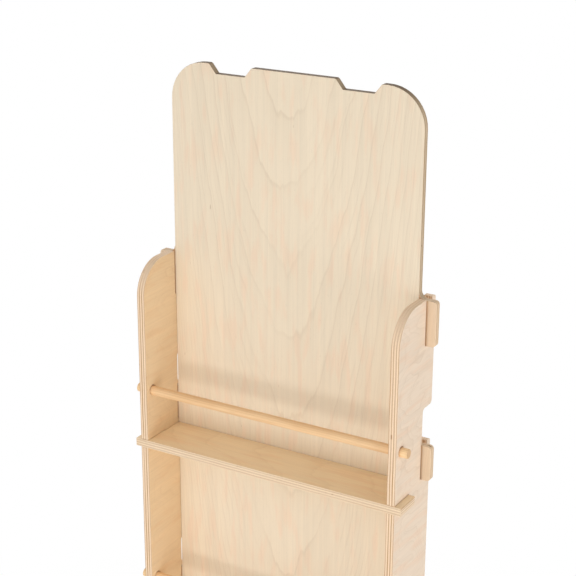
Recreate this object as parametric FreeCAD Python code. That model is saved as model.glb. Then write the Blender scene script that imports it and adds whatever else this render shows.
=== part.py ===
import FreeCAD, Part
import math
import os

# Knock-down display stand of birch plywood, in millimetres.
# X runs across the stand, Y from front to back, Z up from the floor.
# The origin is on the floor, in the middle of the stand's footprint.

# Sheet and rod stock
side_thickness = 9.0
shelf_thickness = 9.0
back_thickness = 7.5
rail_diameter = 10.0

# Layout of the tiers, numbered from the top
tier_count = 4
tier_pitch = 229.0
inner_width = 290.0
side_depth = 79.0
lowest_shelf_height = 112.0
side_rise = 201.0
header_rise = 208.0

# Front corner at the top of a side panel
side_top_radius = 36.0

# Feet, cut in one piece with the side panels
front_foot_reach = 120.0
rear_foot_reach = 120.0
foot_tip_height = 30.0
foot_root_height = 46.0
foot_sweep_radius = 45.0
foot_tip_radius = 12.0
foot_toe_radius = 3.0
foot_pad_length = 60.0
arch_rise = 14.0
arch_radius = 10.0

# Shelves, which slide into notches in the front edges of the side panels
shelf_tab_depth = 32.0
shelf_tab_projection = 7.0
shelf_top_clearance = 0.6
shelf_side_clearance = 0.2
shelf_back_clearance = 0.3

# Rails, pushed through both side panels in front of each tier
rail_height = 56.0
rail_setback = 11.0
rail_projection = 8.6
rail_end_radius = 0.8
rail_hole_clearance = 0.6
rail_seat_gap = 0.05

# Back panel and the ears that hang it on the side panels
back_setback = 59.0
back_side_clearance = 0.2
back_skirt = 3.0
back_foot_radius = 6.0
ear_projection = 10.5
ear_radius = 4.0
ear_height = 38.5
ear_above_shelf = 5.0
top_ear_height = 48.0
top_ear_drop = 1.0
top_ear_flare_radius = 8.0

# Header at the top of the back panel, with two hanging notches
header_radius = 40.0
notch_inner_offset = 48.0
notch_mouth = 50.5
notch_side_run = 8.0
notch_depth = 10.0
notch_lip_radius = 3.0

# Hooks in the rear edges of the side panels
slot_front_clearance = 1.5
slot_rear_clearance = 4.5
recess_clearance = 0.3
recess_lead_in = 3.0
hook_finger_height = 39.5
hook_finger_radius = 3.0
hook_lift_margin = 0.3
recess_headroom = 0.4
recess_inner_radius = 4.0
recess_mouth_radius = 4.0

# Places that follow from the sizes above
half_inner = inner_width / 2
half_outer = half_inner + side_thickness
footprint_depth = front_foot_reach + side_depth + rear_foot_reach
front_y = front_foot_reach - footprint_depth / 2
rear_y = front_y + side_depth
front_toe_y = front_y - front_foot_reach
rear_toe_y = rear_y + rear_foot_reach
back_y = front_y + back_setback
slot_front_y = back_y - slot_front_clearance
slot_rear_y = back_y + back_thickness + slot_rear_clearance
recess_y = back_y - recess_clearance
top_shelf_height = lowest_shelf_height + (tier_count - 1) * tier_pitch
side_top_z = top_shelf_height + side_rise
header_top_z = side_top_z + header_rise
top_ear_top_z = side_top_z - top_ear_drop
top_ear_bottom_z = top_ear_top_z - top_ear_height
shelf_heights = [top_shelf_height - tier * tier_pitch for tier in range(tier_count)]
lift = hook_finger_height + hook_lift_margin


def facing_x(u, v):
    return FreeCAD.Vector(0, u, v)


def facing_y(u, v):
    return FreeCAD.Vector(u, 0, v)


def facing_z(u, v):
    return FreeCAD.Vector(u, v, 0)


def corner_points(before, corner, after, radius):
    """Start, middle and end of the arc that rounds a corner, or the corner alone."""
    to_before = (before - corner).normalize()
    to_after = (after - corner).normalize()
    half_angle = to_before.getAngle(to_after) / 2
    if radius <= 0:
        return [corner]
    setback = radius / math.tan(half_angle)
    bisector = (to_before + to_after).normalize()
    middle = corner + bisector * (radius / math.sin(half_angle) - radius)
    return [corner + to_before * setback, middle, corner + to_after * setback]


def rounded_face(corners, plane):
    """Flat face inside a closed outline of (u, v, corner radius)."""
    points = [plane(u, v) for u, v, radius in corners]
    stretches = []
    for index, corner in enumerate(points):
        after = points[(index + 1) % len(points)]
        stretches.append(corner_points(points[index - 1], corner, after, corners[index][2]))
    edges = []
    for index, stretch in enumerate(stretches):
        if len(stretch) == 3:
            edges.append(Part.Arc(*stretch).toShape())
        start = stretch[-1]
        end = stretches[(index + 1) % len(stretches)][0]
        edges.append(Part.LineSegment(start, end).toShape())
    return Part.Face(Part.Wire(edges))


def foot_corners():
    """Front foot, ground pads and rear foot, from the front edge round to the rear edge."""
    return [
        (front_y, foot_root_height, foot_sweep_radius),
        (front_toe_y, foot_tip_height, foot_tip_radius),
        (front_toe_y, 0, foot_toe_radius),
        (front_toe_y + foot_pad_length, 0, 0),
        (front_toe_y + foot_pad_length + arch_rise, arch_rise, arch_radius),
        (rear_toe_y - foot_pad_length - arch_rise, arch_rise, arch_radius),
        (rear_toe_y - foot_pad_length, 0, 0),
        (rear_toe_y, 0, foot_toe_radius),
        (rear_toe_y, foot_tip_height, foot_tip_radius),
        (rear_y, foot_root_height, foot_sweep_radius),
    ]


def hook_corners(shelf_top):
    """Rear finger, slot and open recess beside one shelf, from the bottom up."""
    slot_floor = shelf_top + ear_above_shelf
    finger_top = slot_floor + hook_finger_height
    recess_top = slot_floor + lift + ear_height + recess_headroom
    return [
        (rear_y, finger_top, hook_finger_radius),
        (slot_rear_y, finger_top, 0),
        (slot_rear_y, slot_floor, 0),
        (slot_front_y, slot_floor, 0),
        (slot_front_y, finger_top, 0),
        (recess_y, finger_top + recess_lead_in, 0),
        (recess_y, recess_top, recess_inner_radius),
        (rear_y, recess_top, recess_mouth_radius),
    ]


def top_corners():
    """Top finger, open slot for the top ear and the round front corner."""
    return [
        (rear_y, side_top_z, hook_finger_radius),
        (slot_rear_y, side_top_z, 0),
        (slot_rear_y, top_ear_bottom_z, 0),
        (slot_front_y, top_ear_bottom_z, 0),
        (slot_front_y, side_top_z, 0),
        (front_y, side_top_z, side_top_radius),
    ]


def shelf_notch_corners(shelf_top):
    """Notch in the front edge that a shelf's tab slides into, from the top down."""
    notch_end = front_y + shelf_tab_depth
    notch_top = shelf_top + shelf_top_clearance
    notch_floor = shelf_top - shelf_thickness
    return [
        (front_y, notch_top, 0),
        (notch_end, notch_top, 0),
        (notch_end, notch_floor, 0),
        (front_y, notch_floor, 0),
    ]


def rail_hole(shelf_top, start_x):
    """Loose hole whose lowest line the rail lies on."""
    radius = rail_diameter / 2 + rail_hole_clearance
    middle = shelf_top + rail_height + rail_hole_clearance - rail_seat_gap
    start = FreeCAD.Vector(start_x, front_y + rail_setback, middle)
    return Part.makeCylinder(radius, side_thickness, start, FreeCAD.Vector(1, 0, 0))


def side_panel(start_x):
    """Side panel with feet, shelf notches, hooks and rail holes, on start_x."""
    corners = foot_corners()
    for shelf_top in reversed(shelf_heights):
        corners += hook_corners(shelf_top)
    corners += top_corners()
    for shelf_top in shelf_heights:
        corners += shelf_notch_corners(shelf_top)
    panel = rounded_face(corners, facing_x).extrude(FreeCAD.Vector(side_thickness, 0, 0))
    panel.translate(FreeCAD.Vector(start_x, 0, 0))
    return panel.cut([rail_hole(shelf_top, start_x) for shelf_top in shelf_heights])


def ear_corners(edge_x, bottom, height, flare_radius):
    """One ear on the right edge of the back panel, from the bottom up."""
    ear_x = half_outer + ear_projection
    return [
        (edge_x, bottom, 0),
        (ear_x, bottom, ear_radius),
        (ear_x, bottom + height, ear_radius),
        (edge_x, bottom + height, flare_radius),
    ]


def header_corners(edge_x):
    """Right half of the header, from its outer corner to the middle of its top edge."""
    notch_outer_offset = notch_inner_offset + notch_mouth
    notch_floor = header_top_z - notch_depth
    return [
        (edge_x, header_top_z, header_radius),
        (notch_outer_offset, header_top_z, notch_lip_radius),
        (notch_outer_offset - notch_side_run, notch_floor, 0),
        (notch_inner_offset + notch_side_run, notch_floor, 0),
        (notch_inner_offset, header_top_z, notch_lip_radius),
    ]


def back_panel():
    """Back panel whose ears drop into the hooks, with the header above."""
    edge_x = half_inner - back_side_clearance
    bottom = lowest_shelf_height - shelf_thickness - back_skirt
    right_half = [(edge_x, bottom, back_foot_radius)]
    for shelf_top in reversed(shelf_heights):
        right_half += ear_corners(edge_x, shelf_top + ear_above_shelf, ear_height, 0)
    right_half += ear_corners(edge_x, top_ear_bottom_z, top_ear_height, top_ear_flare_radius)
    right_half += header_corners(edge_x)
    left_half = [(-x, z, radius) for x, z, radius in reversed(right_half)]
    panel = rounded_face(right_half + left_half, facing_y)
    panel.translate(FreeCAD.Vector(0, back_y, 0))
    return panel.extrude(FreeCAD.Vector(0, back_thickness, 0))


def shelf(shelf_top):
    """Shelf between the side panels, with a tab at each end through their front edges."""
    tab_x = half_outer + shelf_tab_projection
    body_x = half_inner - shelf_side_clearance
    tab_end = front_y + shelf_tab_depth
    rear = back_y - shelf_back_clearance
    right_half = [(tab_x, front_y, 0), (tab_x, tab_end, 0), (body_x, tab_end, 0), (body_x, rear, 0)]
    left_half = [(-x, y, radius) for x, y, radius in reversed(right_half)]
    board = rounded_face(right_half + left_half, facing_z)
    board.translate(FreeCAD.Vector(0, 0, shelf_top - shelf_thickness))
    return board.extrude(FreeCAD.Vector(0, 0, shelf_thickness))


def rail(shelf_top):
    """Round rail through both side panels, with eased ends."""
    end_x = half_outer + rail_projection
    radius = rail_diameter / 2
    profile = [
        (-end_x, 0, 0),
        (end_x, 0, 0),
        (end_x, radius, rail_end_radius),
        (-end_x, radius, rail_end_radius),
    ]
    rod = rounded_face(profile, facing_z).revolve(FreeCAD.Vector(), FreeCAD.Vector(1, 0, 0), 360)
    rod.translate(FreeCAD.Vector(0, front_y + rail_setback, shelf_top + rail_height))
    return rod


def build():
    nodes = {
        "left_side_panel": side_panel(-half_outer),
        "right_side_panel": side_panel(half_inner),
        "back_panel": back_panel(),
    }
    for tier, shelf_top in enumerate(shelf_heights, start=1):
        nodes[f"shelf_{tier}"] = shelf(shelf_top)
        nodes[f"rail_{tier}"] = rail(shelf_top)
    return nodes


os.makedirs("parts", exist_ok=True)
for name, shape in build().items():
    shape.exportStep(f"parts/{name}.step")
    box = shape.BoundBox
    print(f"{name}: {len(shape.Solids)} solid, {shape.Volume / 1000:.1f} cm3, valid {shape.isValid()}, "
          f"{box.XLength:.1f} x {box.YLength:.1f} x {box.ZLength:.1f} mm")
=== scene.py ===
import math
from typing import NamedTuple

import bpy
from mathutils import Matrix, Vector


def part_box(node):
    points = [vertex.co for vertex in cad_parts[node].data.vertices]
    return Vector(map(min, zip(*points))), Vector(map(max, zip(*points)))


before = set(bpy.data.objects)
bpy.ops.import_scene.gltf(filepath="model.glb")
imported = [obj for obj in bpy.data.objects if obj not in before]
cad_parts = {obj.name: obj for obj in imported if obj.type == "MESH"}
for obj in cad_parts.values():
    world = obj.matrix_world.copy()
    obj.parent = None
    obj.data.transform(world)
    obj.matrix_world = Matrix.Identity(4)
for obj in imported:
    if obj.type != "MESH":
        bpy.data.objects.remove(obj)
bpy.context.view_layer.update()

# Pieces of the stand, by their names in the frame
TIERS = 4
SIDE_PANELS = ("left_side_panel", "right_side_panel")
BACK_PANEL = "back_panel"
SHELVES = tuple(f"shelf_{tier}" for tier in range(1, TIERS + 1))
RAILS = tuple(f"rail_{tier}" for tier in range(1, TIERS + 1))

# Boxes that the finishes are laid out by; the right side panel stands for both
side_low, side_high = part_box("right_side_panel")
back_low, back_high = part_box(BACK_PANEL)
shelf_low, shelf_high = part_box(SHELVES[0])
tier_pitch = shelf_low.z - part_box(SHELVES[1])[0].z

# Eased edges, joined seams and relief of the grain, in metres
SHEET_EDGE = 0.0005
ROD_EDGE = 0.0003
SEAM = 0.00001
SHEET_RELIEF = 0.00006
ROD_RELIEF = 0.00005

# Angle below which faces are one flat face, angle above which an edge is sharp, and how it is eased
FLAT_ANGLE = math.radians(0.2)
SHARP_ANGLE = math.radians(35)
EDGE_STEPS = 2
LARGE_FACE_WEIGHT = 100

# Gloss of sanded birch and strength of its relief
BIRCH_IOR = 1.45
BIRCH_SPECULAR = 0.35
RELIEF_STRENGTH = 0.5

# Camera of the photograph: place and clipping in metres, lens and sensor in millimetres
CAMERA_PLACE = Vector((0.7290, -1.2362, 1.4994))
CAMERA_YAW = math.radians(30.279)
CAMERA_PITCH = math.radians(19.540)
CAMERA_ROLL = math.radians(0.278)
CAMERA_LENS = 93.216
CAMERA_SENSOR = 36.0
CAMERA_NEAR = 0.05
CAMERA_FAR = 200.0


class Grain(NamedTuple):
    """Soft noise in a finish: waves to the metre along each axis, octaves and their roughness."""

    waves: tuple
    octaves: float = 2.0
    roughness: float = 0.5


class Softbox(NamedTuple):
    """Rectangular lamp: its place and target, its width and height, and its power in watts."""

    place: tuple
    target: tuple
    size: tuple
    power: float


# Span of a mask and the same falling, the span that soft noise seldom leaves, and a narrower one
MASK_SPAN = (0.0, 1.0)
FALLING = (1.0, 0.0)
NOISE_SPAN = (0.2, 0.8)
INNER_SPAN = (0.25, 0.75)

# Places of the share, under and over sockets and of the result in a mix of numbers or of colours
NUMBER_MIX = (0, 2, 3)
NUMBER_MIXED = 0
COLOUR_MIX = (0, 6, 7)
COLOUR_MIXED = 2

# Kinds of socket in a shared effect, and what each effect gives
COLOUR = "NodeSocketColor"
NUMBER = "NodeSocketFloat"
POINT = "NodeSocketVector"
EFFECT_OUTPUTS = {"Color": COLOUR, "Roughness": NUMBER, "Height": NUMBER}


def paint(red, green, blue):
    """A screen colour of 0 to 255 as the linear colour that a shader takes."""
    shares = [channel / 255 for channel in (red, green, blue)]
    return [s / 12.92 if s <= 0.04045 else ((s + 0.055) / 1.055) ** 2.4 for s in shares] + [1.0]


class Finish:
    """Places and joins the nodes of one material or one shared effect."""

    def __init__(self, tree):
        self.tree = tree

    def node(self, kind, **settings):
        """A new node of that kind, with its settings."""
        node = self.tree.nodes.new(kind)
        for name, setting in settings.items():
            setattr(node, name, setting)
        return node

    def feed(self, socket, source):
        """Joins a socket to a source, or sets it to a plain number, colour or point."""
        if isinstance(source, bpy.types.NodeSocket):
            self.tree.links.new(source, socket)
        else:
            socket.default_value = source

    def fed(self, kind, sources, **settings):
        """The first output of a new node whose first inputs are fed."""
        node = self.node(kind, **settings)
        for socket, source in zip(node.inputs, sources):
            self.feed(socket, source)
        return node.outputs[0]

    def math(self, operation, *numbers):
        return self.fed("ShaderNodeMath", numbers, operation=operation)

    def plus(self, first, second):
        return self.math("ADD", first, second)

    def minus(self, first, second):
        return self.math("SUBTRACT", first, second)

    def times(self, first, second):
        return self.math("MULTIPLY", first, second)

    def size(self, number):
        return self.math("ABSOLUTE", number)

    def split(self, point):
        """The three numbers of a point."""
        node = self.node("ShaderNodeSeparateXYZ")
        self.feed(node.inputs[0], point)
        return node.outputs

    def point(self, x, y, z):
        return self.fed("ShaderNodeCombineXYZ", (x, y, z))

    def stretch(self, point, by):
        return self.fed("ShaderNodeVectorMath", (point, by), operation="MULTIPLY")

    def shift(self, point, by):
        return self.fed("ShaderNodeVectorMath", (point, by), operation="ADD")

    def noise(self, point, grain):
        """Soft noise of that grain, mostly between 0.2 and 0.8."""
        node = self.node("ShaderNodeTexNoise", noise_dimensions="3D")
        self.feed(node.inputs["Vector"], self.stretch(point, grain.waves))
        self.feed(node.inputs["Scale"], 1.0)
        self.feed(node.inputs["Detail"], grain.octaves)
        self.feed(node.inputs["Roughness"], grain.roughness)
        return node.outputs[0]

    def between(self, number, span, onto=MASK_SPAN):
        """A number moved smoothly from one span onto another, and held at its ends."""
        return self.fed("ShaderNodeMapRange", (number, *span, *onto), interpolation_type="SMOOTHSTEP")

    def tint(self, share, under, over, blend_type="MIX"):
        """One colour over another, by a share from 0 to 1."""
        node = self.node("ShaderNodeMix", data_type="RGBA", blend_type=blend_type)
        for index, source in zip(COLOUR_MIX, (share, under, over)):
            self.feed(node.inputs[index], source)
        return node.outputs[COLOUR_MIXED]

    def blend(self, share, under, over):
        """One number over another, by a share from 0 to 1."""
        node = self.node("ShaderNodeMix", data_type="FLOAT")
        for index, source in zip(NUMBER_MIX, (share, under, over)):
            self.feed(node.inputs[index], source)
        return node.outputs[NUMBER_MIXED]

    def shade(self, colour, tone):
        """A colour made darker or lighter by a tone about 1."""
        return self.tint(1.0, colour, self.point(tone, tone, tone), "MULTIPLY")

    def effect(self, group, **values):
        """A shared effect placed with its own values."""
        node = self.node("ShaderNodeGroup", node_tree=group)
        for name, value in values.items():
            self.feed(node.inputs[name.replace("_", " ").capitalize()], value)
        return node.outputs


def new_effect(name, inputs):
    """An empty shared effect with named inputs, and the ends of its node tree."""
    group = bpy.data.node_groups.new(name, "ShaderNodeTree")
    for title, kind in inputs.items():
        group.interface.new_socket(title, in_out="INPUT", socket_type=kind)
    for title, kind in EFFECT_OUTPUTS.items():
        group.interface.new_socket(title, in_out="OUTPUT", socket_type=kind)
    finish = Finish(group)
    start = finish.node("NodeGroupInput").outputs
    end = finish.node("NodeGroupOutput").inputs
    return group, finish, start, end


# Arches of the veneer: how they drift, eddy and ripple, a ripple's shift in metres, and how flanks steepen
ARCH_DRIFT = Grain((9.0, 2.2, 1.0), roughness=0.45)
ARCH_EDDY = Grain((24.0, 14.0, 1.0), octaves=1.5)
ARCH_RIPPLE = Grain((140.0, 14.0, 1.0))
RIPPLE_SHIFT = (-0.005, 0.005)
FLANK_POWER = 3.0

# One growth line: the shade on its early side, and where its rise starts, in widths of the line
LINE_SHADE = 0.55
LINE_SHADE_POWER = 3.0
LINE_RISE = 3.5

# Bold growth lines, a share of their spacing wide, which come and go in patches
BOLD_WIDTH = 0.045
BOLD_PATCH = Grain((14.0, 4.0, 1.0), octaves=1.0)
BOLD_PATCH_SPAN = (0.32, 0.62)
BOLD_STRENGTH = (0.05, 0.27)

# Slight ones between them, closer by a share, broken up, and strongest well beside the arches' middle
SLIGHT_WIDTH = 0.12
SLIGHT_SPACING = 0.42
SLIGHT_BREAK = Grain((55.0, 7.0, 1.0), roughness=0.6)
SLIGHT_BREAK_SPAN = (0.38, 0.62)
SLIGHT_ASIDE = (0.015, 0.07)
SLIGHT_STRENGTH = (0.03, 0.17)

# Fibres and streaks along the grain, short pores, a few flecks and a warm flush
FIBRE = Grain((520.0, 9.0, 3.0), octaves=3.0, roughness=0.6)
FIBRE_TONE = (0.966, 1.024)
FIBRE_HEIGHT = 0.6
FIBRE_ROUGHNESS = (0.62, 0.50)
STREAK = Grain((120.0, 1.6, 2.0))
STREAK_TONE = (0.972, 1.012)
PORE = Grain((2600.0, 190.0, 5.0), octaves=1.0)
PORE_SPAN = (0.66, 0.76)
PORE_TONE = (1.0, 0.92)
FLECK = Grain((420.0, 70.0, 5.0), octaves=1.0)
FLECK_SPAN = (0.80, 0.84)
FLECK_STRENGTH = (0.0, 0.8)
FLUSH = Grain((100.0, 20.0, 1.5))
FLUSH_SPAN = (0.48, 0.70)
FLUSH_STRENGTH = (0.0, 0.65)


def growth_level(finish, start):
    """Level of a point in the log, whose level lines are arches that wander along the grain."""
    veneer = start["Veneer"]
    tip = start["Tip"]
    across, along = finish.split(veneer)[:2]
    from_tip = finish.math("MULTIPLY_ADD", across, across, finish.times(tip, tip))
    rise = finish.minus(finish.math("SQRT", from_tip), tip)
    flank = finish.math("POWER", finish.size(across), FLANK_POWER)
    arch = finish.math("MULTIPLY_ADD", flank, start["Steepen"], finish.times(rise, start["Slope"]))
    wander = finish.times(finish.minus(finish.noise(veneer, ARCH_DRIFT), 0.5), start["Wander"])
    swirl = finish.times(finish.minus(finish.noise(veneer, ARCH_EDDY), 0.5), start["Swirl"])
    ripple = finish.between(finish.noise(veneer, ARCH_RIPPLE), NOISE_SPAN, RIPPLE_SHIFT)
    bend = finish.plus(wander, finish.plus(swirl, ripple))
    return finish.plus(finish.minus(along, arch), bend)


def growth_line(finish, level, spacing, width):
    """A thin line at every spacing of the level, with a long soft shade on its early side."""
    ring = finish.math("FRACT", finish.math("DIVIDE", level, spacing))
    shade = finish.times(finish.math("POWER", ring, LINE_SHADE_POWER), LINE_SHADE)
    rise = finish.between(ring, (1.0 - LINE_RISE * width, 1.0 - width))
    fall = finish.between(ring, (1.0 - width, 1.0), FALLING)
    return finish.times(finish.math("MAXIMUM", shade, rise), fall)


def growth_figure(finish, start):
    """How strongly the growth lines show, from 0 to 1."""
    veneer = start["Veneer"]
    level = growth_level(finish, start)
    bold = growth_line(finish, level, start["Spacing"], BOLD_WIDTH)
    patch = finish.between(finish.noise(veneer, BOLD_PATCH), BOLD_PATCH_SPAN, BOLD_STRENGTH)
    spacing = finish.times(start["Spacing"], SLIGHT_SPACING)
    slight = growth_line(finish, level, spacing, SLIGHT_WIDTH)
    aside = finish.size(finish.split(veneer)[0])
    beside = finish.times(finish.between(aside, SLIGHT_ASIDE, SLIGHT_STRENGTH), slight)
    broken = finish.between(finish.noise(veneer, SLIGHT_BREAK), SLIGHT_BREAK_SPAN)
    return finish.math("MAXIMUM", finish.times(bold, patch), finish.times(beside, broken))


def veneer_effect():
    """Rotary-cut birch face: growth lines in hanging arches, fibres, pores and a warm flush.

    Veneer is a point in metres: across the grain, along the grain, and a third number that
    picks another part of the log. Slope, Tip and Steepen shape the arches, Spacing parts them,
    and Wander and Swirl bend them over a long and a short way.
    """
    group, finish, start, end = new_effect(
        "birch_veneer",
        {
            "Veneer": POINT,
            "Pale": COLOUR,
            "Growth": COLOUR,
            "Flush": COLOUR,
            "Slope": NUMBER,
            "Tip": NUMBER,
            "Steepen": NUMBER,
            "Spacing": NUMBER,
            "Wander": NUMBER,
            "Swirl": NUMBER,
        },
    )
    veneer = start["Veneer"]
    fibre = finish.noise(veneer, FIBRE)
    streak = finish.noise(veneer, STREAK)
    pore = finish.between(finish.noise(veneer, PORE), PORE_SPAN)
    fleck = finish.between(finish.noise(veneer, FLECK), FLECK_SPAN, FLECK_STRENGTH)
    flush = finish.between(finish.noise(veneer, FLUSH), FLUSH_SPAN, FLUSH_STRENGTH)

    colour = finish.tint(flush, start["Pale"], start["Flush"])
    colour = finish.tint(growth_figure(finish, start), colour, start["Growth"])
    colour = finish.tint(fleck, colour, start["Growth"])
    tone = finish.between(streak, INNER_SPAN, STREAK_TONE)
    tone = finish.times(tone, finish.between(fibre, NOISE_SPAN, FIBRE_TONE))
    tone = finish.times(tone, finish.between(pore, MASK_SPAN, PORE_TONE))

    finish.feed(end["Color"], finish.shade(colour, tone))
    finish.feed(end["Roughness"], finish.between(fibre, NOISE_SPAN, FIBRE_ROUGHNESS))
    finish.feed(end["Height"], finish.minus(finish.times(fibre, FIBRE_HEIGHT), pore))
    return group


def ply_shares(count, face_ply):
    """Shares of a sheet that each of its two face plies and each core ply between them takes."""
    return {"face_ply": face_ply, "core_ply": (1.0 - 2 * face_ply) / (count - 2)}


# Plies of the nine millimetre sheet and of the thinner back panel
NINE_MM_PLIES = ply_shares(7, 0.10)
BACK_PLIES = ply_shares(5, 0.13)

# Cut plies: how their seams waver, how sharply they change, and the dark glue between them
PLY_WAVER = Grain((26.0, 26.0, 26.0), octaves=1.0)
PLY_WAVER_SHIFT = (-0.025, 0.025)
PLY_CHANGE = (0.40, 0.60)
END_GRAIN_POWER = 2.2
GLUE_SPAN = (0.42, 0.50)
GLUE_TONE = (1.0, 0.92)

# Tone and spots of each ply, set apart from ply to ply by a distance in metres, and fine grain
PLY_APART = 0.56154
PLY_DRIFT = Grain((13.0, 13.0, 13.0))
PLY_DRIFT_SPAN = (0.3, 0.7)
PLY_DRIFT_STRENGTH = (0.6, 1.0)
PLY_DRIFT_TONE = (0.96, 1.02)
PLY_SPOT = Grain((58.5, 58.5, 58.5), roughness=0.7)
PLY_SPOT_SPAN = (0.66, 0.73)
PLY_SPOT_STRENGTH = (0.0, 0.9)
PLY_FINE = Grain((900.0, 900.0, 900.0), roughness=0.6)
PLY_FINE_TONE = (0.95, 1.03)
PLY_FINE_HEIGHT = 0.5
PLY_FINE_ROUGHNESS = (0.72, 0.60)


def layers_effect():
    """Cut edge of plywood, where every second ply shows its end grain.

    Through goes from 0 to 1 across the sheet, and Face ply and Core ply are the plies' shares
    of it. Face end and Core end say how squarely the cut crosses the grain of either kind.
    """
    group, finish, start, end = new_effect(
        "ply_layers",
        {
            "Through": NUMBER,
            "Place": POINT,
            "Face ply": NUMBER,
            "Core ply": NUMBER,
            "Face end": NUMBER,
            "Core end": NUMBER,
            "Long grain": COLOUR,
            "End grain": COLOUR,
            "Spot": COLOUR,
        },
    )
    place = start["Place"]
    waver = finish.between(finish.noise(place, PLY_WAVER), NOISE_SPAN, PLY_WAVER_SHIFT)
    through = finish.plus(start["Through"], waver)
    depth = finish.math("DIVIDE", finish.minus(through, start["Face ply"]), start["Core ply"])
    turn = finish.math("PINGPONG", finish.plus(depth, 0.5), 1.0)
    crossed = finish.blend(finish.between(turn, PLY_CHANGE), start["Face end"], start["Core end"])
    end_share = finish.math("POWER", crossed, END_GRAIN_POWER)
    from_middle = finish.size(finish.minus(finish.math("FRACT", depth), 0.5))
    glue = finish.between(from_middle, GLUE_SPAN)

    # Each ply has its own tone, which drifts along the edge
    own_way = finish.times(finish.math("FLOOR", depth), PLY_APART)
    own_place = finish.shift(place, finish.point(own_way, 0.0, 0.0))
    drift = finish.noise(own_place, PLY_DRIFT)
    spot = finish.between(finish.noise(own_place, PLY_SPOT), PLY_SPOT_SPAN, PLY_SPOT_STRENGTH)
    fine = finish.noise(place, PLY_FINE)

    strength = finish.times(end_share, finish.between(drift, PLY_DRIFT_SPAN, PLY_DRIFT_STRENGTH))
    colour = finish.tint(strength, start["Long grain"], start["End grain"])
    colour = finish.tint(finish.times(spot, end_share), colour, start["Spot"])
    tone = finish.between(drift, INNER_SPAN, PLY_DRIFT_TONE)
    tone = finish.times(tone, finish.between(fine, NOISE_SPAN, PLY_FINE_TONE))
    tone = finish.times(tone, finish.between(glue, MASK_SPAN, GLUE_TONE))

    finish.feed(end["Color"], finish.shade(colour, tone))
    finish.feed(end["Roughness"], finish.between(fine, NOISE_SPAN, PLY_FINE_ROUGHNESS))
    finish.feed(end["Height"], finish.minus(finish.times(fine, PLY_FINE_HEIGHT), end_share))
    return group


birch_veneer = veneer_effect()
ply_layers = layers_effect()


def new_material(name):
    """A material with a bare Principled shader that has the gloss of birch."""
    material = bpy.data.materials.new(name)
    material.use_nodes = True
    finish = Finish(material.node_tree)
    shader = material.node_tree.nodes["Principled BSDF"]
    shader.inputs["IOR"].default_value = BIRCH_IOR
    shader.inputs["Specular IOR Level"].default_value = BIRCH_SPECULAR
    return material, finish, shader


def surface(finish):
    """Where a point lies at rest, and how squarely its surface faces each axis, from 0 to 1."""
    coords = finish.node("ShaderNodeTexCoord").outputs
    facing = [finish.size(part) for part in finish.split(coords["Normal"])]
    return coords["Object"], facing


def wire(finish, shader, colour, rough, height, depth):
    """Feeds a finish to its shader, with its relief of that depth in metres."""
    bump = finish.node("ShaderNodeBump")
    bump.inputs["Strength"].default_value = RELIEF_STRENGTH
    bump.inputs["Distance"].default_value = depth
    finish.feed(bump.inputs["Height"], height)
    finish.feed(shader.inputs["Base Color"], colour)
    finish.feed(shader.inputs["Roughness"], rough)
    finish.feed(shader.inputs["Normal"], bump.outputs["Normal"])


# How squarely a surface faces out of its sheet where the veneer takes over from the cut plies
FACE_SPAN = (0.62, 0.78)


def sheet_finish(finish, shader, facing, faces, edge):
    """Veneer on a sheet's faces and plies on its cut edges."""
    on_face = finish.between(facing, FACE_SPAN)
    colour = finish.tint(on_face, edge["Color"], faces["Color"])
    rough = finish.blend(on_face, edge["Roughness"], faces["Roughness"])
    height = finish.blend(on_face, edge["Height"], faces["Height"])
    wire(finish, shader, colour, rough, height, SHEET_RELIEF)


# Side panels: steps through the log to the metre, where the outside takes over, and the share of their end
# grain on up-facing cuts, kept below full as painted light on their top edges
SIDE_LOG = 61.0
SIDE_OUTSIDE_SPAN = (0.3, 0.7)
SIDE_END_SHARE = 0.8
# Inside faces are painted warmer and a little darker than the outside ones, a painted warm bounce and
# shade of the pockets
SIDE_INSIDE_PAINTED_BOUNCE = {
    "pale": paint(239, 211, 172),
    "growth": paint(220, 185, 144),
    "flush": paint(236, 201, 158),
}
SIDE_OUTSIDE = {
    "pale": paint(241, 221, 199),
    "growth": paint(208, 180, 150),
    "flush": paint(242, 213, 186),
}
# End grain of upright cuts, and of up-facing cuts painted lighter as painted light on the top edges
SIDE_UPRIGHT_CUT = paint(198, 156, 114)
SIDE_LIT_LEVEL_CUT = paint(228, 192, 158)


def side_panel_birch():
    """Side panels: nine millimetre sheet with its grain from front to back."""
    material, finish, shader = new_material("side_panel_birch")
    place, (facing_x, facing_y, facing_z) = surface(finish)
    x, y, z = finish.split(place)
    from_inside = finish.minus(finish.size(x), side_low.x)
    through = finish.math("DIVIDE", from_inside, side_high.x - side_low.x)
    outside = finish.between(through, SIDE_OUTSIDE_SPAN)
    colours = {}
    for part, inside in SIDE_INSIDE_PAINTED_BOUNCE.items():
        colours[part] = finish.tint(outside, inside, SIDE_OUTSIDE[part])
    faces = finish.effect(
        birch_veneer,
        veneer=finish.point(z, y, finish.times(x, SIDE_LOG)),
        slope=0.3,
        tip=0.05,
        steepen=0.0,
        spacing=0.05,
        wander=0.3,
        swirl=0.34,
        **colours,
    )
    edge = finish.effect(
        ply_layers,
        through=through,
        place=place,
        face_end=facing_y,
        # Up-facing cuts show less end grain, painted light on the top edges
        core_end=finish.times(facing_z, SIDE_END_SHARE),
        long_grain=paint(249, 223, 193),
        end_grain=finish.tint(facing_z, SIDE_UPRIGHT_CUT, SIDE_LIT_LEVEL_CUT),
        spot=paint(166, 124, 82),
        **NINE_MM_PLIES,
    )
    sheet_finish(finish, shader, facing_x, faces, edge)
    return material


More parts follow.
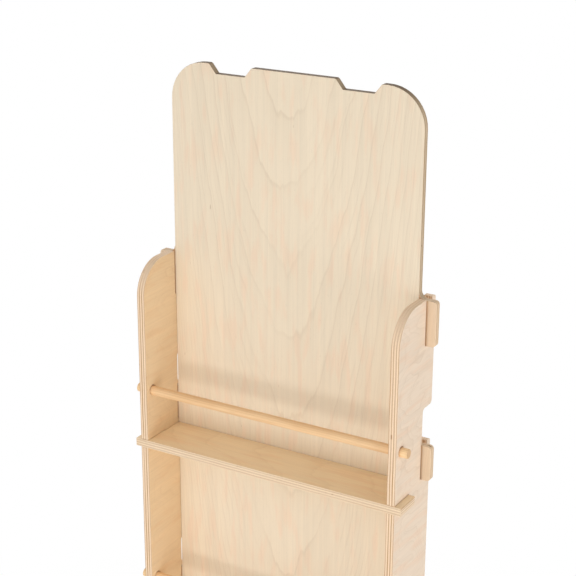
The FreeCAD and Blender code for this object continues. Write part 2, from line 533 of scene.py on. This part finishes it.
# Back panel: arches left of its middle and below its top, in metres, and its part and steps of the log
ARCH_ASIDE = 0.005
ARCH_DROP = 0.1155
BACK_LOG = 11.0
BACK_LOG_STEPS = 90.0

# Where a painted shadow lies on the ears beside the side panels' slots, in metres before and past the side
# panel, and how steeply the darkening of the header's top cut follows its facing up
SLOT_SHADE_BEFORE = 0.0006
SLOT_SHADE_PAST = 0.0022
TOP_CUT_DARKENING_POWER = 2.2

# Colours of the panel and its ears, whose face is painted warmer and darker as painted shade and warm
# bounce, of the painted shadow beside the slots, and of the darker top cut
BACK_PALE = paint(241, 225, 200)
BACK_LONG_GRAIN = paint(212, 192, 164)
BACK_END_GRAIN = paint(178, 148, 112)
# The ears' face colour is painted darker and warmer, a painted shade and warm bounce from the side panels
EAR_SHADED_PALE = paint(238, 213, 183)
EAR_LONG_GRAIN = paint(238, 212, 180)
EAR_END_GRAIN = paint(212, 178, 140)
SLOT_PAINTED_SHADE = paint(214, 175, 136)
TOP_CUT_LONG_GRAIN = paint(122, 100, 73)
TOP_CUT_END_GRAIN = paint(82, 63, 43)


def back_panel_birch():
    """Back panel: thinner sheet with upright grain in hanging arches."""
    material, finish, shader = new_material("back_panel_birch")
    place, (facing_x, facing_y, facing_z) = surface(finish)
    x, y, z = finish.split(place)
    through = finish.math("DIVIDE", finish.minus(y, back_low.y), back_high.y - back_low.y)

    # The ears' faces are painted warmer and darker, a painted shade and warm bounce from the side panels
    # beside them, with a painted shadow where they go through the side panels, and the header's up-facing
    # cut is darker
    aside = finish.size(x)
    on_ear = finish.between(aside, (side_low.x, side_high.x))
    into_slot = finish.between(aside, (side_low.x - SLOT_SHADE_BEFORE, side_low.x))
    out_of_slot = finish.between(aside, (side_high.x, side_high.x + SLOT_SHADE_PAST), FALLING)
    # Painted shadow on the ears where they pass through the side panels' slots
    slot_shade = finish.times(into_slot, out_of_slot)
    on_header = finish.between(z, (side_high.z, back_high.z))
    # The header's cut is darker where it faces up
    darker_top_cut = finish.times(on_header, finish.math("POWER", facing_z, TOP_CUT_DARKENING_POWER))

    log = finish.math("MULTIPLY_ADD", y, BACK_LOG_STEPS, BACK_LOG)
    above_arch = finish.minus(z, back_high.z - ARCH_DROP)
    faces = finish.effect(
        birch_veneer,
        veneer=finish.point(finish.plus(x, ARCH_ASIDE), above_arch, log),
        slope=3.2,
        tip=0.045,
        steepen=150.0,
        spacing=0.085,
        wander=0.13,
        swirl=0.045,
        pale=finish.tint(slot_shade, finish.tint(on_ear, BACK_PALE, EAR_SHADED_PALE), SLOT_PAINTED_SHADE),
        growth=paint(206, 182, 154),
        flush=paint(243, 217, 190),
    )
    long_grain = finish.tint(on_ear, BACK_LONG_GRAIN, EAR_LONG_GRAIN)
    end_grain = finish.tint(on_ear, BACK_END_GRAIN, EAR_END_GRAIN)
    edge = finish.effect(
        ply_layers,
        through=through,
        place=place,
        face_end=facing_z,
        core_end=facing_x,
        long_grain=finish.tint(darker_top_cut, long_grain, TOP_CUT_LONG_GRAIN),
        end_grain=finish.tint(darker_top_cut, end_grain, TOP_CUT_END_GRAIN),
        spot=paint(120, 88, 56),
        **BACK_PLIES,
    )
    sheet_finish(finish, shader, facing_y, faces, edge)
    return material


# Shelves: steps through the log to the metre, and the darker top ply on the ends of the tabs
SHELF_LOG = 37.0
TOP_PLY_SPAN = (0.80, 0.86)
TOP_PLY = paint(204, 166, 124)


def shelf_birch():
    """Shelves: nine millimetre sheet with its grain from side to side."""
    material, finish, shader = new_material("shelf_birch")
    place, (facing_x, facing_y, facing_z) = surface(finish)
    x, y, z = finish.split(place)
    above_lowest = finish.minus(z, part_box(SHELVES[-1])[0].z - tier_pitch / 2)
    within = finish.minus(finish.math("MODULO", above_lowest, tier_pitch), tier_pitch / 2)
    through = finish.math("DIVIDE", within, shelf_high.z - shelf_low.z)
    on_top_ply = finish.times(finish.between(through, TOP_PLY_SPAN), facing_x)
    faces = finish.effect(
        birch_veneer,
        veneer=finish.point(y, x, finish.times(z, SHELF_LOG)),
        slope=1.2,
        tip=0.02,
        steepen=0.0,
        spacing=0.06,
        wander=0.2,
        swirl=0.06,
        pale=paint(251, 227, 189),
        growth=paint(228, 198, 158),
        flush=paint(248, 216, 175),
    )
    edge = finish.effect(
        ply_layers,
        through=through,
        place=place,
        face_end=facing_x,
        core_end=facing_y,
        long_grain=finish.tint(on_top_ply, paint(243, 219, 188), TOP_PLY),
        end_grain=finish.tint(on_top_ply, paint(216, 184, 150), TOP_PLY),
        spot=paint(176, 134, 92),
        **NINE_MM_PLIES,
    )
    sheet_finish(finish, shader, facing_z, faces, edge)
    return material


# Rods: growth rings round a pith outside the rod, with their spacing and wander in metres
ROD_PITH = Vector((0.0, -0.018, -0.011))
ROD_RING = 0.0021
ROD_RING_DRIFT = Grain((7.0, 60.0, 60.0))
ROD_RING_WANDER = 0.004
ROD_RING_RISE = (0.3, 0.92)
ROD_RING_FALL = (0.92, 1.0)
ROD_RING_STRENGTH = 0.22
ROD_RING_COLOUR = paint(206, 154, 102)

# Fibres, pores and patches of the rods, and the painted light that makes them paler past the side panels
ROD_FIBRE = Grain((14.0, 900.0, 900.0), octaves=3.0, roughness=0.6)
ROD_FIBRE_TONE = (0.96, 1.03)
ROD_FIBRE_ROUGHNESS = (0.58, 0.46)
ROD_PORE = Grain((60.0, 1500.0, 1500.0), octaves=1.0)
ROD_PORE_SPAN = (0.62, 0.75)
ROD_PORE_TONE = (1.0, 0.90)
ROD_PATCH = Grain((16.0, 90.0, 90.0))
ROD_PATCH_SPAN = (0.35, 0.7)
ROD_PALE = paint(246, 207, 160)
ROD_WARM = paint(240, 197, 148)
ROD_PAST_SIDE = 0.002
ROD_LIT_TIP = paint(252, 216, 168)
ROD_END_GRAIN = paint(222, 182, 136)


def ring_share(finish, place, pith):
    """How dark the late wood of the growth rings is, from 0 to 1."""
    y, z = finish.split(place)[1:]
    away_y = finish.minus(y, pith.y)
    away_z = finish.minus(z, pith.z)
    square = finish.math("MULTIPLY_ADD", away_y, away_y, finish.times(away_z, away_z))
    drift = finish.noise(place, ROD_RING_DRIFT)
    level = finish.math("MULTIPLY_ADD", drift, ROD_RING_WANDER, finish.math("SQRT", square))
    ring = finish.math("FRACT", finish.math("DIVIDE", level, ROD_RING))
    late = finish.between(ring, ROD_RING_RISE)
    early = finish.between(ring, ROD_RING_FALL, FALLING)
    return finish.times(finish.times(late, early), ROD_RING_STRENGTH)


def rail_birch(rail):
    """Turned rod: growth rings through the rod, fibres along it and pores on its ends."""
    material, finish, shader = new_material(f"{rail}_birch")
    low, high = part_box(rail)
    place, (facing_x, _, _) = surface(finish)
    fibre = finish.noise(place, ROD_FIBRE)
    pore = finish.between(finish.noise(place, ROD_PORE), ROD_PORE_SPAN)
    patch = finish.between(finish.noise(place, ROD_PATCH), ROD_PATCH_SPAN)
    aside = finish.size(finish.split(place)[0])
    past_side = finish.between(aside, (side_high.x, side_high.x + ROD_PAST_SIDE))

    colour = finish.tint(patch, ROD_PALE, ROD_WARM)
    # Paler past the side panels: painted light on the rods' ends
    colour = finish.tint(past_side, colour, ROD_LIT_TIP)
    colour = finish.tint(facing_x, colour, ROD_END_GRAIN)
    colour = finish.tint(ring_share(finish, place, (low + high) / 2 + ROD_PITH), colour, ROD_RING_COLOUR)
    tone = finish.between(fibre, NOISE_SPAN, ROD_FIBRE_TONE)
    tone = finish.times(tone, finish.between(pore, MASK_SPAN, ROD_PORE_TONE))
    rough = finish.between(fibre, NOISE_SPAN, ROD_FIBRE_ROUGHNESS)
    wire(finish, shader, finish.shade(colour, tone), rough, finish.minus(fibre, pore), ROD_RELIEF)
    return material


def smooth_faces():
    """Joins the faces of a piece along its seams and shades them smooth."""
    group = bpy.data.node_groups.new("smooth_faces", "GeometryNodeTree")
    group.interface.new_socket("Geometry", in_out="INPUT", socket_type="NodeSocketGeometry")
    group.interface.new_socket("Geometry", in_out="OUTPUT", socket_type="NodeSocketGeometry")
    finish = Finish(group)
    start = finish.node("NodeGroupInput")
    merge = finish.node("GeometryNodeMergeByDistance")
    merge.inputs["Distance"].default_value = SEAM
    unsharp = finish.node("GeometryNodeSetShadeSmooth", domain="EDGE")
    smooth = finish.node("GeometryNodeSetShadeSmooth", domain="FACE")
    end = finish.node("NodeGroupOutput")
    finish.feed(merge.inputs["Geometry"], start.outputs[0])
    finish.feed(unsharp.inputs[0], merge.outputs[0])
    finish.feed(smooth.inputs[0], unsharp.outputs[0])
    finish.feed(end.inputs[0], smooth.outputs[0])
    return group


joined_smooth = smooth_faces()


def ease_edges(piece, width):
    """Breaks the sharp edges of a piece as sandpaper does."""
    joined = piece.modifiers.new("joined", "NODES")
    joined.node_group = joined_smooth
    flat = piece.modifiers.new("flat_faces", "DECIMATE")
    flat.decimate_type = "DISSOLVE"
    flat.angle_limit = FLAT_ANGLE
    eased = piece.modifiers.new("eased_edges", "BEVEL")
    eased.width = width
    eased.segments = EDGE_STEPS
    eased.limit_method = "ANGLE"
    eased.angle_limit = SHARP_ANGLE
    eased.use_clamp_overlap = True
    shaded = piece.modifiers.new("even_shading", "WEIGHTED_NORMAL")
    shaded.mode = "FACE_AREA"
    shaded.weight = LARGE_FACE_WEIGHT


def dress(node, material, width):
    """Gives a piece its finish and its eased edges."""
    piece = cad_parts[node]
    piece.data.materials.clear()
    piece.data.materials.append(material)
    ease_edges(piece, width)


def dress_stand():
    """Side panels and shelves share a finish each, and each rail has its own."""
    sides = side_panel_birch()
    for node in SIDE_PANELS:
        dress(node, sides, SHEET_EDGE)
    dress(BACK_PANEL, back_panel_birch(), SHEET_EDGE)
    boards = shelf_birch()
    for node in SHELVES:
        dress(node, boards, SHEET_EDGE)
    for node in RAILS:
        dress(node, rail_birch(node), ROD_EDGE)


# Light of the surroundings, and the heights between which it changes
WHITE = (1.0, 1.0, 1.0, 1.0)
HORIZON_LIGHT = (0.48, 0.48, 0.48, 1.0)
OVERHEAD_LIGHT = (0.57, 0.555, 0.535, 1.0)
HORIZON_TO_OVERHEAD = (0.05, 0.75)

# Softboxes and what they are turned to, in metres
MIDDLE = (0.0, 0.0, 0.75)
TOP_TIER = (0.0, 0.0, 0.85)
SOFTBOXES = {
    "front_softbox": Softbox((0.05, -1.7, 0.6), TOP_TIER, (1.4, 0.8), 10.6),
    "high_softbox": Softbox((0.3, -2.0, 2.6), MIDDLE, (1.4, 1.4), 5.0),
    "right_softbox": Softbox((2.3, -0.35, 0.2), MIDDLE, (1.5, 1.4), 27.5),
    "rear_softbox": Softbox((-1.6, 2.6, 1.3), MIDDLE, (1.8, 1.8), 28.0),
}

# Floor: half its side in metres, its speckle, and how it whitens away from the stand
FLOOR_HALF = 40.0
FLOOR_SPECKLE = Grain((40.0, 40.0, 40.0), octaves=3.0)
FLOOR_TONE = (0.86, 0.90)
FLOOR_FADE = (0.35, 1.3)
FLOOR_WHITE = (0.72, 1.0)


def seen_ray(finish):
    """1 for what the camera sees directly, in a reflection or through glass."""
    light_path = finish.node("ShaderNodeLightPath").outputs
    seen = finish.math("MAXIMUM", light_path["Is Camera Ray"], light_path["Is Glossy Ray"])
    return finish.math("MAXIMUM", seen, light_path["Is Transmission Ray"])


def floor_white():
    """Matt white that glows plain white to the camera, less so close to the stand."""
    material = bpy.data.materials.new("studio_floor")
    material.use_nodes = True
    material.node_tree.nodes.clear()
    finish = Finish(material.node_tree)
    place = finish.node("ShaderNodeTexCoord").outputs["Object"]
    tone = finish.between(finish.noise(place, FLOOR_SPECKLE), NOISE_SPAN, FLOOR_TONE)
    matt = finish.fed("ShaderNodeBsdfDiffuse", [finish.point(tone, tone, tone)])
    glow = finish.fed("ShaderNodeEmission", [WHITE, 1.0])
    reach = finish.node("ShaderNodeVectorMath", operation="LENGTH")
    finish.feed(reach.inputs[0], place)
    white = finish.between(reach.outputs["Value"], FLOOR_FADE, FLOOR_WHITE)
    share = finish.times(seen_ray(finish), white)
    mixed = finish.fed("ShaderNodeMixShader", [share, matt, glow])
    surface_end = finish.node("ShaderNodeOutputMaterial")
    finish.feed(surface_end.inputs["Surface"], mixed)
    return material


def studio_floor():
    """Plain white floor that keeps a soft shadow of the stand."""
    quarters = ((-1, -1), (1, -1), (1, 1), (-1, 1))
    corners = [(x * FLOOR_HALF, y * FLOOR_HALF, 0.0) for x, y in quarters]
    mesh = bpy.data.meshes.new("studio_floor")
    mesh.from_pydata(corners, [], [(0, 1, 2, 3)])
    mesh.materials.append(floor_white())
    floor = bpy.data.objects.new("studio_floor", mesh)
    bpy.context.scene.collection.objects.link(floor)


def studio_world():
    """White surroundings that light the stand a little more, and warmer, from overhead."""
    world = bpy.data.worlds.new("studio")
    world.use_nodes = True
    bpy.context.scene.world = world
    world.node_tree.nodes.clear()
    finish = Finish(world.node_tree)
    height = finish.split(finish.node("ShaderNodeTexCoord").outputs["Generated"])[2]
    light = finish.tint(finish.between(height, HORIZON_TO_OVERHEAD), HORIZON_LIGHT, OVERHEAD_LIGHT)
    ambient = finish.fed("ShaderNodeBackground", [light])
    white = finish.fed("ShaderNodeBackground", [WHITE])
    mixed = finish.fed("ShaderNodeMixShader", [seen_ray(finish), ambient, white])
    surface_end = finish.node("ShaderNodeOutputWorld")
    finish.feed(surface_end.inputs["Surface"], mixed)


def studio_lamps():
    """Large white softboxes, each turned to its target and hidden from the camera."""
    for name, box in SOFTBOXES.items():
        lamp = bpy.data.lights.new(name, "AREA")
        lamp.shape = "RECTANGLE"
        lamp.size, lamp.size_y = box.size
        lamp.energy = box.power
        holder = bpy.data.objects.new(name, lamp)
        holder.location = box.place
        holder.rotation_mode = "QUATERNION"
        holder.rotation_quaternion = (Vector(box.target) - Vector(box.place)).to_track_quat("-Z", "Y")
        holder.visible_camera = False
        bpy.context.scene.collection.objects.link(holder)


def photo_camera():
    """Camera of the photograph, turned by its yaw, pitch and roll."""
    level = math.cos(CAMERA_PITCH)
    ahead = Vector((-math.sin(CAMERA_YAW) * level, math.cos(CAMERA_YAW) * level, -math.sin(CAMERA_PITCH)))
    right = Vector((math.cos(CAMERA_YAW), math.sin(CAMERA_YAW), 0.0))
    upward = right.cross(ahead)
    rolled_right = right * math.cos(CAMERA_ROLL) + upward * math.sin(CAMERA_ROLL)
    rolled_up = upward * math.cos(CAMERA_ROLL) - right * math.sin(CAMERA_ROLL)
    lens = bpy.data.cameras.new("photo_camera")
    lens.lens = CAMERA_LENS
    lens.sensor_width = CAMERA_SENSOR
    lens.sensor_fit = "HORIZONTAL"
    lens.clip_start = CAMERA_NEAR
    lens.clip_end = CAMERA_FAR
    camera = bpy.data.objects.new("photo_camera", lens)
    turn = Matrix((rolled_right, rolled_up, -ahead)).transposed().to_4x4()
    camera.matrix_world = Matrix.Translation(CAMERA_PLACE) @ turn
    bpy.context.scene.collection.objects.link(camera)
    bpy.context.scene.camera = camera


dress_stand()
studio_floor()
studio_world()
studio_lamps()
photo_camera()
bpy.context.scene.view_settings.view_transform = "Standard"
